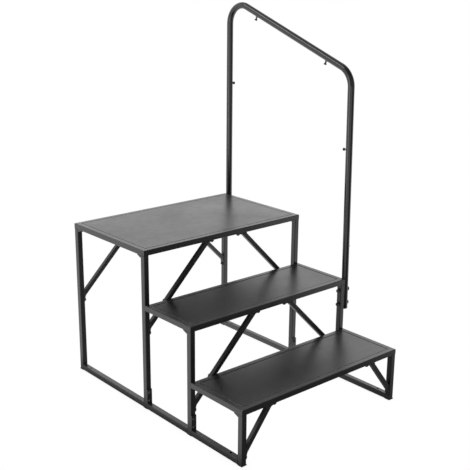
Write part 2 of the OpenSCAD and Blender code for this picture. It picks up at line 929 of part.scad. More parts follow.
// Places every frame bolt: the head's seat is at the origin and +Z points out of the head
module at_frame_bolts() {
    // brace tabs under the rims
    for (side = [LEFT, RIGHT]) {
        translate([side * rim_bolt_x(short_reach), leg_y(BOTTOM), step_z(BOTTOM) - tube - tab_t])
            aim("-z") children();
        for (place = [[leg_y(MIDDLE), MIDDLE], [leg_y(TOP), TOP], [rear_leg_y, TOP]])
            translate([side * rim_bolt_x(long_reach), place[0], step_z(place[1]) - tube - tab_t])
                aim("-z") children();
    }
    // brace tabs on the legs
    for (side = [LEFT, RIGHT]) {
        translate([side * (inner_x - tab_t), leg_y(BOTTOM), foot_bolt_z(step_z(BOTTOM), short_drop)])
            aim(side > 0 ? "-x" : "+x") children();
        for (place = [[leg_y(MIDDLE), MIDDLE], [leg_y(TOP), TOP], [rear_leg_y, TOP]])
            translate([side * (inner_x - tab_t), place[0], foot_bolt_z(step_z(place[1]), long_drop)])
                aim(side > 0 ? "-x" : "+x") children();
    }
    // leg brackets under the side rims
    for (side = [LEFT, RIGHT], step = [BOTTOM, MIDDLE, TOP], y = bracket_bolt_ys(step))
        translate([side * leg_x, y, step_z(step) - tube - bracket_t])
            aim("-z") children();
    // foot plates on the legs
    for (side = [LEFT, RIGHT], step = [MIDDLE, TOP], z = foot_bolt_zs)
        translate([side * leg_x, step_y(step) - foot_plate_t, z])
            aim("-y") children();
}

module frame_bolts() {
    shank = foot_plate_t + wall + nut_h;
    color("#0e0e0f")
        at_frame_bolts() dome_bolt(bolt_d / 2, shank, head_r, head_h);
}

// Nuts welded inside the tube walls behind the frame bolts
module weld_nuts() {
    color("#3a3a3c") {
        for (side = [LEFT, RIGHT]) {
            translate([side * rim_bolt_x(short_reach), leg_y(BOTTOM), step_z(BOTTOM) - tube + wall])
                hex_nut(nut_af, nut_h, bolt_d / 2);
            for (place = [[leg_y(MIDDLE), MIDDLE], [leg_y(TOP), TOP], [rear_leg_y, TOP]])
                translate([side * rim_bolt_x(long_reach), place[0], step_z(place[1]) - tube + wall])
                    hex_nut(nut_af, nut_h, bolt_d / 2);
            translate([side * (inner_x + wall), leg_y(BOTTOM), foot_bolt_z(step_z(BOTTOM), short_drop)])
                aim(side > 0 ? "+x" : "-x") hex_nut(nut_af, nut_h, bolt_d / 2);
            for (place = [[leg_y(MIDDLE), MIDDLE], [leg_y(TOP), TOP], [rear_leg_y, TOP]])
                translate([side * (inner_x + wall), place[0], foot_bolt_z(step_z(place[1]), long_drop)])
                    aim(side > 0 ? "+x" : "-x") hex_nut(nut_af, nut_h, bolt_d / 2);
        }
        for (side = [LEFT, RIGHT], step = [BOTTOM, MIDDLE, TOP], y = bracket_bolt_ys(step))
            translate([side * leg_x, y, step_z(step) - tube + wall])
                hex_nut(nut_af, nut_h, bolt_d / 2);
        for (side = [LEFT, RIGHT], step = [MIDDLE, TOP], z = foot_bolt_zs)
            translate([side * leg_x, step_y(step) + wall, z])
                aim("+y") hex_nut(nut_af, nut_h, bolt_d / 2);
    }
}

// Places a tie bolt: the origin is on the back face of a lower step's rear rim, +Z points forwards
module at_ties() {
    for (side = [LEFT, RIGHT], step = [BOTTOM, MIDDLE])
        translate([side * tie_x(), step_back(step), step_z(step) - tube / 2])
            aim("-y") children();
}

module tie_bolts() {
    grip = tube + deck_sheet + tie_spacer_t + brace_tube;
    color("#0e0e0f")
        at_ties()
            translate([0, 0, tube + deck_sheet])
                dome_bolt(tie_bolt_d / 2, grip + tie_nut_h + 2, tie_head_r, tie_head_h);
}

module tie_spacers() {
    color("#18181a")
        at_ties()
            translate([0, 0, -tie_spacer_t])
                difference() {
                    cylinder(r = tie_head_r, h = tie_spacer_t);
                    translate([0, 0, -1])
                        cylinder(r = tie_hole_r, h = tie_spacer_t + 2);
                }
}

module tie_nuts() {
    color("#0e0e0f")
        at_ties()
            translate([0, 0, -tie_spacer_t - brace_tube - tie_nut_h])
                hex_nut(tie_nut_af, tie_nut_h, tie_bolt_d / 2);
}

bottom_deck();
middle_deck();
top_deck();
deck_stiffeners();
bottom_rim_front();
bottom_rim_rear();
bottom_rim_left();
bottom_rim_right();
middle_rim_front();
middle_rim_rear();
middle_rim_left();
middle_rim_right();
top_rim_front();
top_rim_rear();
top_rim_left();
top_rim_right();
bottom_leg_left();
bottom_leg_right();
middle_leg_left();
middle_leg_right();
top_leg_left();
top_leg_right();
rear_leg_left();
rear_leg_right();
bottom_base_left();
bottom_base_right();
middle_base_left();
middle_base_right();
top_base_left();
top_base_right();
bottom_brace_left();
bottom_brace_right();
middle_brace_left();
middle_brace_right();
top_brace_left();
top_brace_right();
rear_brace_left();
rear_brace_right();
foot_plates();
leg_brackets();
leg_caps();
foot_caps();
rear_post();
front_post();
front_tube();
rail_rear_bend();
rail_front_bend();
rail_slope();
rail_sleeves();
rail_knobs();
rail_end_caps();
seam_screw();
rail_bolts();
rail_washers();
rail_nuts();
frame_bolts();
weld_nuts();
tie_bolts();
tie_spacers();
tie_nuts();
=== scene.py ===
"""Looks of a three-step mounting block with a one-sided handrail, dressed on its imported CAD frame."""

import logging
import math
import random
from collections.abc import Callable, Iterable, Sequence
from dataclasses import dataclass, field
from enum import Enum

import bpy
from bpy.types import Material, Node, NodeSocket, NodeTree, Object
from mathutils import Matrix, Vector


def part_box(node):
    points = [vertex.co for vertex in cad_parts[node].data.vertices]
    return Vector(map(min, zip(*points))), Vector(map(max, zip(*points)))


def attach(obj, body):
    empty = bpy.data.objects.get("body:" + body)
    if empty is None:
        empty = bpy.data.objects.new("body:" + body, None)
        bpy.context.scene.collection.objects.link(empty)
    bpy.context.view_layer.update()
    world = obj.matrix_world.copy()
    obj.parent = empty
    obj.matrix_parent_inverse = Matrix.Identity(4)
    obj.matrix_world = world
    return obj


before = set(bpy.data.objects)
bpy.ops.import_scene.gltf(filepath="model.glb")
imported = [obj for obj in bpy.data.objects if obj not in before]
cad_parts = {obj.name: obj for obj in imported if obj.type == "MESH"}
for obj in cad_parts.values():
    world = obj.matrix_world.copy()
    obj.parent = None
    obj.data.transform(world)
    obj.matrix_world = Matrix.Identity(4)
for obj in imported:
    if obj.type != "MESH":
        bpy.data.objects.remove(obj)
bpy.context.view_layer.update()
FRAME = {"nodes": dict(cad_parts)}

LOG = logging.getLogger("mounting_block")
BODY = "root"
MM = 0.001

Colour = tuple[float, float, float, float]
Triple = tuple[float, float, float]


class Slot(Enum):
    """Finish slots of the part's record."""

    FRAME = "frame_coat"


class Effect(Enum):
    """Shader node groups shared by the finishes."""

    POWDER = "powder texture"
    TONE = "batch tone"
    EDGE_WEAR = "edge wear"
    DUST = "settled dust"
    SCUFFS = "boot scuffs"
    RUBS = "rub marks"
    MOULD = "moulded grain"
    DRAWN = "drawn lines"


def grey(level: float, warmth: float = 0.0) -> Colour:
    """Linear grey with a little warmth (above 0) or coolness (below 0)."""
    return (level * (1 + warmth), level, level * (1 - warmth), 1.0)


# ---------------------------------------------------------------- shader graphs


@dataclass
class Graph:
    """Adds and links nodes in one shader tree."""

    tree: NodeTree

    def add(self, kind: str, **settings: object) -> Node:
        """Adds a node and sets its own options.

        Args:
            kind: Blender's identifier of the node type.
            settings: Attribute names of the node and their values.

        Returns:
            The new node.
        """
        node = self.tree.nodes.new(kind)
        for name, value in settings.items():
            setattr(node, name, value)
        return node

    def feed(self, socket: NodeSocket, value: object) -> None:
        """Links a socket into another, or sets its plain value.

        Args:
            socket: The input to fill.
            value: An output socket, a number or a tuple.
        """
        if isinstance(value, NodeSocket):
            self.tree.links.new(value, socket)
        else:
            socket.default_value = value

    def math(self, operation: str, a: object, b: object = 0.0, clamp: bool = False) -> NodeSocket:
        """Scalar arithmetic.

        Args:
            operation: Name of the operation, such as MULTIPLY.
            a: First value or socket.
            b: Second value or socket.
            clamp: Whether the result is kept between 0 and 1.

        Returns:
            The result's socket.
        """
        node = self.add("ShaderNodeMath", operation=operation, use_clamp=clamp)
        self.feed(node.inputs[0], a)
        if len(node.inputs) > 1:
            self.feed(node.inputs[1], b)
        return node.outputs[0]

    def vector(self, operation: str, a: object, b: object = (0.0, 0.0, 0.0)) -> Node:
        """Vector arithmetic.

        Args:
            operation: Name of the operation, such as DOT_PRODUCT.
            a: First vector or socket.
            b: Second vector or socket.

        Returns:
            The node, whose outputs depend on the operation.
        """
        node = self.add("ShaderNodeVectorMath", operation=operation)
        self.feed(node.inputs[0], a)
        self.feed(node.inputs[1], b)
        return node

    def span(
        self, value: object, low: float, high: float, out_low: object = 0.0, out_high: object = 1.0
    ) -> NodeSocket:
        """Smoothly maps a range of values onto another range, clamped at both ends.

        Args:
            value: The value or socket to map.
            low: Start of the input range.
            high: End of the input range.
            out_low: Result at the start, a number or a socket.
            out_high: Result at the end, a number or a socket.

        Returns:
            The mapped value's socket.
        """
        node = self.add("ShaderNodeMapRange", interpolation_type="SMOOTHSTEP")
        for name, number in (("Value", value), ("From Min", low), ("From Max", high)):
            self.feed(node.inputs[name], number)
        self.feed(node.inputs["To Min"], out_low)
        self.feed(node.inputs["To Max"], out_high)
        return node.outputs["Result"]

    def noise(
        self, place: NodeSocket, scale: object, detail: float = 2.0, roughness: float = 0.5
    ) -> NodeSocket:
        """Fractal noise between 0 and 1.

        Args:
            place: Coordinates in metres.
            scale: Features per metre.
            detail: Number of finer octaves.
            roughness: Weight of the finer octaves.

        Returns:
            The noise value's socket.
        """
        node = self.add("ShaderNodeTexNoise")
        self.feed(node.inputs["Vector"], place)
        self.feed(node.inputs["Scale"], scale)
        node.inputs["Detail"].default_value = detail
        node.inputs["Roughness"].default_value = roughness
        return node.outputs["Fac"]

    def stretched(self, place: NodeSocket, turn: Triple, scale: Triple) -> NodeSocket:
        """Coordinates turned and stretched, for marks with a direction.

        Args:
            place: Coordinates in metres.
            turn: Rotation in degrees about X, Y and Z.
            scale: Factor along each turned axis.

        Returns:
            The changed coordinates' socket.
        """
        node = self.add("ShaderNodeMapping")
        self.feed(node.inputs["Vector"], place)
        node.inputs["Rotation"].default_value = tuple(math.radians(angle) for angle in turn)
        node.inputs["Scale"].default_value = scale
        return node.outputs["Vector"]

    def blend(self, share: object, a: object, b: object) -> NodeSocket:
        """Mixes two colours.

        Args:
            share: How much of the second colour, from 0 to 1.
            a: First colour or socket.
            b: Second colour or socket.

        Returns:
            The mixed colour's socket.
        """
        node = self.add("ShaderNodeMix", data_type="RGBA")
        self.feed(node.inputs["Factor"], share)
        colours = [socket for socket in node.inputs if socket.type == "RGBA"]
        self.feed(colours[0], a)
        self.feed(colours[1], b)
        return next(socket for socket in node.outputs if socket.type == "RGBA")

    def object_place(self) -> NodeSocket:
        """Coordinates of the row frame, in metres."""
        return self.add("ShaderNodeTexCoord").outputs["Object"]

    def surface_normal(self) -> NodeSocket:
        """The surface's own direction."""
        return self.add("ShaderNodeNewGeometry").outputs["Normal"]


@dataclass(frozen=True)
class Port:
    """A named input or output of an effect."""

    name: str
    value: float = 0.0


Builder = Callable[[Graph, dict[str, NodeSocket]], dict[str, NodeSocket]]


@dataclass
class EffectShelf:
    """Builds each shared effect once and places it in materials."""

    groups: dict[Effect, NodeTree] = field(default_factory=dict)

    def place(self, graph: Graph, effect: Effect, **values: object) -> dict[str, NodeSocket]:
        """Puts an effect in a material.

        Args:
            graph: The material's graph.
            effect: Which effect.
            values: Its inputs, with spaces in a name written as underscores.

        Returns:
            The effect's outputs by name.
        """
        node = graph.add("ShaderNodeGroup", node_tree=self.group(effect), label=effect.value)
        for name, value in values.items():
            graph.feed(node.inputs[name.replace("_", " ")], value)
        return {socket.name: socket for socket in node.outputs}

    def group(self, effect: Effect) -> NodeTree:
        """The node group of an effect, built the first time it is asked for."""
        if effect not in self.groups:
            inputs, outputs, build = self._plan(effect)
            self.groups[effect] = self._make(effect, inputs, outputs, build)
        return self.groups[effect]

    def _make(
        self, effect: Effect, inputs: Sequence[Port], outputs: Sequence[str], build: Builder
    ) -> NodeTree:
        """Makes a node group from its plan.

        Args:
            effect: Which effect, for its name.
            inputs: Named inputs with their usual values.
            outputs: Names of the outputs.
            build: Adds the nodes and returns an output socket for each name.

        Returns:
            The finished node group.
        """
        tree = bpy.data.node_groups.new(effect.value, "ShaderNodeTree")
        for port in inputs:
            socket = tree.interface.new_socket(name=port.name, in_out="INPUT", socket_type="NodeSocketFloat")
            socket.default_value = port.value
        for name in outputs:
            tree.interface.new_socket(name=name, in_out="OUTPUT", socket_type="NodeSocketFloat")
        graph = Graph(tree)
        start = graph.add("NodeGroupInput")
        end = graph.add("NodeGroupOutput")
        made = build(graph, {socket.name: socket for socket in start.outputs if socket.name})
        for name, socket in made.items():
            tree.links.new(socket, end.inputs[name])
        return tree

    def _plan(self, effect: Effect) -> tuple[Sequence[Port], Sequence[str], Builder]:
        """Inputs, outputs and builder of an effect."""
        plans: dict[Effect, tuple[Sequence[Port], Sequence[str], Builder]] = {
            Effect.POWDER: ((Port("Peel", 1.0), Port("Grain", 1.0)), ("Height", "Speckle"), self._powder),
            Effect.TONE: ((Port("Spread", 1.0),), ("Tone",), self._tone),
            Effect.EDGE_WEAR: ((Port("Reach", 0.001), Port("Amount", 0.5)), ("Mask",), self._edge_wear),
            Effect.DUST: ((Port("Amount", 0.3),), ("Mask",), self._dust),
            Effect.SCUFFS: ((Port("Amount", 0.3),), ("Mask",), self._scuffs),
            Effect.RUBS: ((Port("Amount", 0.3),), ("Mask",), self._rubs),
            Effect.MOULD: ((Port("Grain", 1.0),), ("Height", "Speckle"), self._mould),
            Effect.DRAWN: ((Port("Depth", 1.0),), ("Height", "Streak"), self._drawn),
        }
        return plans[effect]

    @staticmethod
    def _powder(graph: Graph, given: dict[str, NodeSocket]) -> dict[str, NodeSocket]:
        """Orange-peel flow of the cured powder with its fine speckle on top."""
        place = graph.object_place()
        peel = graph.math("MULTIPLY", graph.noise(place, 260.0, 1.0), given["Peel"])
        speckle = graph.noise(place, 1500.0, 2.0, 0.6)
        grain = graph.math("MULTIPLY", speckle, given["Grain"])
        return {"Height": graph.math("ADD", peel, graph.math("MULTIPLY", grain, 0.35)), "Speckle": speckle}

    @staticmethod
    def _tone(graph: Graph, given: dict[str, NodeSocket]) -> dict[str, NodeSocket]:
        """Broad unevenness of the coat's film, from place to place."""
        place = graph.object_place()
        broad = graph.noise(place, 5.0, 3.0, 0.55)
        close = graph.noise(place, 38.0, 2.0, 0.5)
        mixed = graph.math("ADD", graph.math("MULTIPLY", broad, 0.7), graph.math("MULTIPLY", close, 0.3))
        centred = graph.math("SUBTRACT", mixed, 0.5)
        return {"Tone": graph.math("ADD", graph.math("MULTIPLY", centred, given["Spread"]), 0.5, clamp=True)}

    @staticmethod
    def _edge_wear(graph: Graph, given: dict[str, NodeSocket]) -> dict[str, NodeSocket]:
        """Outer edges where the coat is thin or rubbed, broken up by patches."""
        bevel = graph.add("ShaderNodeBevel", samples=4)
        graph.feed(bevel.inputs["Radius"], given["Reach"])
        facing = graph.vector("DOT_PRODUCT", bevel.outputs["Normal"], graph.surface_normal()).outputs["Value"]
        edge = graph.span(facing, 0.97, 0.8)
        patches = graph.span(graph.noise(graph.object_place(), 70.0, 4.0, 0.65), 0.42, 0.72)
        worn = graph.math("MULTIPLY", edge, patches)
        return {"Mask": graph.math("MULTIPLY", worn, given["Amount"], clamp=True)}

    @staticmethod
    def _dust(graph: Graph, given: dict[str, NodeSocket]) -> dict[str, NodeSocket]:
        """Fine dust on surfaces that face up, thicker in soft patches."""
        split = graph.add("ShaderNodeSeparateXYZ")
        graph.feed(split.inputs[0], graph.surface_normal())
        level = graph.span(split.outputs["Z"], 0.55, 0.98)
        place = graph.object_place()
        clouds = graph.span(graph.noise(place, 11.0, 4.0, 0.6), 0.3, 0.75, 0.35, 1.0)
        specks = graph.span(graph.noise(place, 620.0, 2.0, 0.7), 0.5, 0.72, 0.45, 1.0)
        settled = graph.math("MULTIPLY", graph.math("MULTIPLY", level, clouds), specks)
        return {"Mask": graph.math("MULTIPLY", settled, given["Amount"], clamp=True)}

    @staticmethod
    def _scuffs(graph: Graph, given: dict[str, NodeSocket]) -> dict[str, NodeSocket]:
        """Short soft streaks left by boots, in two directions, in patches."""
        place = graph.object_place()
        along = graph.stretched(place, (0, 0, 24), (30.0, 260.0, 30.0))
        across = graph.stretched(place, (0, 0, 118), (26.0, 330.0, 26.0))
        first = graph.span(graph.noise(along, 1.0, 3.0, 0.6), 0.6, 0.74)
        second = graph.span(graph.noise(across, 1.0, 3.0, 0.6), 0.62, 0.76)
        streaks = graph.math("MAXIMUM", first, second)
        patches = graph.span(graph.noise(place, 7.5, 2.0, 0.5), 0.48, 0.64)
        marks = graph.math("MULTIPLY", streaks, patches)
        return {"Mask": graph.math("MULTIPLY", marks, given["Amount"], clamp=True)}

    @staticmethod
    def _rubs(graph: Graph, given: dict[str, NodeSocket]) -> dict[str, NodeSocket]:
        """Fine hairline rubs from handling and stacking."""
        place = graph.object_place()
        slanted = graph.stretched(place, (35, 20, 15), (18.0, 900.0, 900.0))
        lines = graph.span(graph.noise(slanted, 1.0, 2.0, 0.55), 0.66, 0.78)
        patches = graph.span(graph.noise(place, 14.0, 2.0, 0.5), 0.5, 0.68)
        marks = graph.math("MULTIPLY", lines, patches)
        return {"Mask": graph.math("MULTIPLY", marks, given["Amount"], clamp=True)}

    @staticmethod
    def _mould(graph: Graph, given: dict[str, NodeSocket]) -> dict[str, NodeSocket]:
        """Spark-eroded grain of a plastic mould."""
        cells = graph.add("ShaderNodeTexVoronoi", feature="SMOOTH_F1")
        graph.feed(cells.inputs["Vector"], graph.object_place())
        cells.inputs["Scale"].default_value = 1100.0
        pits = graph.math("MULTIPLY", cells.outputs["Distance"], given["Grain"])
        return {"Height": pits, "Speckle": graph.noise(graph.object_place(), 420.0, 2.0)}

    @staticmethod
    def _drawn(graph: Graph, given: dict[str, NodeSocket]) -> dict[str, NodeSocket]:
        """Fine lines that drawing and cutting leave in bare steel."""
        along = graph.stretched(graph.object_place(), (0, 0, 0), (1400.0, 1400.0, 24.0))
        streak = graph.noise(along, 1.0, 3.0, 0.6)
        return {"Height": graph.math("MULTIPLY", streak, given["Depth"]), "Streak": streak}


# ---------------------------------------------------------------- finishes


def blank_material(name: str) -> tuple[Material, Graph, Node]:
    """A new material that holds only its surface shader.

    Args:
        name: Name of the material.

    Returns:
        The material, its graph and its Principled shader.
    """
    material = bpy.data.materials.new(name)
    material.use_nodes = True
    graph = Graph(material.node_tree)
    material.node_tree.nodes.clear()
    shader = graph.add("ShaderNodeBsdfPrincipled")
    output = graph.add("ShaderNodeOutputMaterial")
    material.node_tree.links.new(shader.outputs["BSDF"], output.inputs["Surface"])
    return material, graph, shader


def raise_surface(graph: Graph, shader: Node, height: NodeSocket, depth: float) -> None:
    """Bumps a surface by a height mask.

    Args:
        graph: The material's graph.
        shader: The shader whose normal is bumped.
        height: The height mask.
        depth: Real depth of the relief, in metres.
    """
    bump = graph.add("ShaderNodeBump")
    bump.inputs["Strength"].default_value = 1.0
    bump.inputs["Distance"].default_value = depth
    graph.feed(bump.inputs["Height"], height)
    graph.feed(shader.inputs["Normal"], bump.outputs["Normal"])


@dataclass(frozen=True)
class PowderCoat:
    """Satin black powder coat on steel."""

    name: str
    dark: Colour
    light: Colour
    roughness: float
    sheen_spread: float = 0.06
    peel: float = 1.0
    grain: float = 1.0
    relief: float = 0.03 * MM
    wear: float = 0.35
    wear_reach: float = 0.8 * MM
    dust: float = 0.1
    scuffs: float = 0.0
    rubs: float = 0.25
    gloss: float = 0.5

    def material(self, shelf: EffectShelf) -> Material:
        """The finish as a Blender material.

        Args:
            shelf: Where the shared effects come from.

        Returns:
            The finished material.
        """
        material, graph, shader = blank_material(self.name)
        powder = shelf.place(graph, Effect.POWDER, Peel=self.peel, Grain=self.grain)
        tone = shelf.place(graph, Effect.TONE, Spread=1.6)["Tone"]
        wear = shelf.place(graph, Effect.EDGE_WEAR, Reach=self.wear_reach, Amount=self.wear)["Mask"]
        dust = shelf.place(graph, Effect.DUST, Amount=self.dust)["Mask"]
        rubs = shelf.place(graph, Effect.RUBS, Amount=self.rubs)["Mask"]
        marks = rubs
        if self.scuffs > 0:
            scuffs = shelf.place(graph, Effect.SCUFFS, Amount=self.scuffs)["Mask"]
            marks = graph.math("MAXIMUM", rubs, scuffs)

        colour = graph.blend(tone, self.dark, self.light)
        colour = graph.blend(graph.math("MULTIPLY", marks, 0.35), colour, grey(0.075))
        colour = graph.blend(wear, colour, grey(0.09, 0.04))
        colour = graph.blend(dust, colour, grey(0.27, 0.05))
        graph.feed(shader.inputs["Base Color"], colour)

        smoothest, roughest = self.roughness - self.sheen_spread, self.roughness + self.sheen_spread
        uneven = graph.span(tone, 0.0, 1.0, smoothest, roughest)
        fine = graph.math("MULTIPLY", graph.math("SUBTRACT", powder["Speckle"], 0.5), 0.12)
        rough = graph.math("ADD", uneven, fine)
        rough = graph.math("ADD", rough, graph.math("MULTIPLY", graph.math("MAXIMUM", marks, dust), 0.25))
        rough = graph.math("SUBTRACT", rough, graph.math("MULTIPLY", wear, 0.1), clamp=True)
        graph.feed(shader.inputs["Roughness"], rough)
        graph.feed(shader.inputs["Metallic"], graph.math("MULTIPLY", wear, 0.35))
        shader.inputs["Specular IOR Level"].default_value = self.gloss
        shader.inputs["IOR"].default_value = 1.5
        raise_surface(graph, shader, powder["Height"], self.relief)
        return material


@dataclass(frozen=True)
class MouldedPlastic:
    """Matt black injection-moulded plastic."""

    name: str
    dark: Colour = grey(0.006)
    light: Colour = grey(0.014)
    roughness: float = 0.5
    relief: float = 0.02 * MM
    dust: float = 0.12

    def material(self, shelf: EffectShelf) -> Material:
        """The finish as a Blender material.

        Args:
            shelf: Where the shared effects come from.

        Returns:
            The finished material.
        """
        material, graph, shader = blank_material(self.name)
        mould = shelf.place(graph, Effect.MOULD, Grain=1.0)
        tone = shelf.place(graph, Effect.TONE, Spread=1.8)["Tone"]
        dust = shelf.place(graph, Effect.DUST, Amount=self.dust)["Mask"]
        wear = shelf.place(graph, Effect.EDGE_WEAR, Reach=0.6 * MM, Amount=0.5)["Mask"]
        colour = graph.blend(tone, self.dark, self.light)
        colour = graph.blend(wear, colour, grey(0.06))
        colour = graph.blend(dust, colour, grey(0.25, 0.05))
        graph.feed(shader.inputs["Base Color"], colour)
        rough = graph.span(mould["Speckle"], 0.3, 0.7, self.roughness - 0.06, self.roughness + 0.08)
        rough = graph.math("ADD", rough, graph.math("MULTIPLY", dust, 0.2), clamp=True)
        graph.feed(shader.inputs["Roughness"], rough)
        raise_surface(graph, shader, mould["Height"], self.relief)
        return material


@dataclass(frozen=True)
class BlackZinc:
    """Black-passivated zinc on screws, nuts and washers."""

    name: str
    dark: Colour = grey(0.012)
    light: Colour = grey(0.035)
    roughness: float = 0.36
    relief: float = 0.015 * MM

    def material(self, shelf: EffectShelf) -> Material:
        """The finish as a Blender material.

        Args:
            shelf: Where the shared effects come from.

        Returns:
            The finished material.
        """
        material, graph, shader = blank_material(self.name)
        powder = shelf.place(graph, Effect.POWDER, Peel=0.5, Grain=1.2)
        tone = shelf.place(graph, Effect.TONE, Spread=2.2)["Tone"]
        wear = shelf.place(graph, Effect.EDGE_WEAR, Reach=0.5 * MM, Amount=0.8)["Mask"]
        rubs = shelf.place(graph, Effect.RUBS, Amount=0.5)["Mask"]
        colour = graph.blend(tone, self.dark, self.light)
        bare = graph.math("MAXIMUM", wear, graph.math("MULTIPLY", rubs, 0.4))
        graph.feed(shader.inputs["Base Color"], graph.blend(bare, colour, grey(0.32, 0.03)))
        metallic = graph.math("ADD", graph.math("MULTIPLY", bare, 0.6), 0.35, clamp=True)
        graph.feed(shader.inputs["Metallic"], metallic)
        rough = graph.span(powder["Speckle"], 0.3, 0.7, self.roughness - 0.08, self.roughness + 0.1)
        graph.feed(shader.inputs["Roughness"], rough)
        raise_surface(graph, shader, powder["Height"], self.relief)
        return material


@dataclass(frozen=True)
class DrawnSteel:
    """Bare drawn steel, dull and lightly oiled."""

    name: str
    dark: Colour = grey(0.16, 0.02)
    light: Colour = grey(0.34, 0.02)
    roughness: float = 0.38
    relief: float = 0.02 * MM

    def material(self, shelf: EffectShelf) -> Material:
        """The finish as a Blender material.

        Args:
            shelf: Where the shared effects come from.

        Returns:
            The finished material.
        """
        material, graph, shader = blank_material(self.name)
        drawn = shelf.place(graph, Effect.DRAWN, Depth=1.0)
        tone = shelf.place(graph, Effect.TONE, Spread=2.0)["Tone"]
        colour = graph.blend(tone, self.dark, self.light)
        stain = graph.span(drawn["Streak"], 0.62, 0.8, 0.0, 0.35)
        graph.feed(shader.inputs["Base Color"], graph.blend(stain, colour, (0.11, 0.06, 0.03, 1.0)))
        graph.feed(shader.inputs["Metallic"], graph.span(stain, 0.0, 0.35, 1.0, 0.6))
        rough = graph.span(drawn["Streak"], 0.3, 0.7, self.roughness, self.roughness + 0.18)
        graph.feed(shader.inputs["Roughness"], rough)
        raise_surface(graph, shader, drawn["Height"], self.relief)
        return material


Finish = PowderCoat | MouldedPlastic | BlackZinc | DrawnSteel


@dataclass
class PaintShop:
    """Makes each finish once and dresses pieces with it."""

    shelf: EffectShelf = field(default_factory=EffectShelf)
    made: dict[str, Material] = field(default_factory=dict)
    frame_coat: Finish = PowderCoat("frame_satin_black", grey(0.0045), grey(0.0085), 0.32)
    deck_coat: Finish = PowderCoat(
        "deck_fine_texture_black",
        grey(0.003),
        grey(0.006),
        0.34,
        grain=1.6,
        relief=0.035 * MM,
        dust=0.02,
        scuffs=0.3,
    )
    rail_coat: Finish = PowderCoat(
        "rail_satin_black",
        grey(0.0035),
        grey(0.006),
        0.17,
        sheen_spread=0.03,
        peel=0.6,
        relief=0.012 * MM,
        wear=0.2,
        dust=0.0,
        rubs=0.12,
    )
    brace_coat: Finish = PowderCoat("brace_satin_black", grey(0.0035), grey(0.006), 0.42)
    weld_coat: Finish = PowderCoat("weld_satin_black", grey(0.004), grey(0.008), 0.4, wear=0.2)
    plastic: Finish = MouldedPlastic("cap_moulded_black")
    zinc: Finish = BlackZinc("screw_black_zinc")
    steel: Finish = DrawnSteel("sleeve_drawn_steel")

    def coat(self, piece: Object, finish: Finish) -> None:
        """Gives every slot of a piece the same finish.

        Args:
            piece: The piece to dress.
            finish: What it is finished with.
        """
        if finish.name not in self.made:
            self.made[finish.name] = finish.material(self.shelf)
        if not piece.material_slots:
            piece.data.materials.append(None)
        for slot in piece.material_slots:
            slot.material = self.made[finish.name]


# ---------------------------------------------------------------- mesh helpers


@dataclass
class MeshSketch:
    """Collects the points and faces of a new piece."""

    points: list[Vector] = field(default_factory=list)
    faces: list[tuple[int, ...]] = field(default_factory=list)

    def loop(self, points: Iterable[Vector]) -> list[int]:
        """Adds points and returns their numbers."""
        start = len(self.points)
        self.points.extend(points)
        return list(range(start, len(self.points)))

    def bridge(self, first: Sequence[int], second: Sequence[int]) -> None:
        """Joins two closed loops of the same length with a band of quads."""
        count = len(first)
        for i in range(count):
            j = (i + 1) % count
            self.faces.append((first[i], first[j], second[j], second[i]))

    def piece(self, name: str, slot: Slot, sharp_angle: float = 40.0) -> Object:
        """Turns the sketch into a piece that rides on the block.

        Args:
            name: Name of the piece.
            slot: Not used.
            sharp_angle: Edges that turn more than this many degrees stay crisp.

        Returns:
            The new object, linked and riding.
        """
        mesh = bpy.data.meshes.new(name)
        mesh.from_pydata([tuple(point) for point in self.points], [], self.faces)
        mesh.validate()
        mesh.shade_smooth()
        mesh.set_sharp_from_angle(angle=math.radians(sharp_angle))
        piece = bpy.data.objects.new(name, mesh)
        bpy.context.scene.collection.objects.link(piece)
        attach(piece, BODY)
        return piece


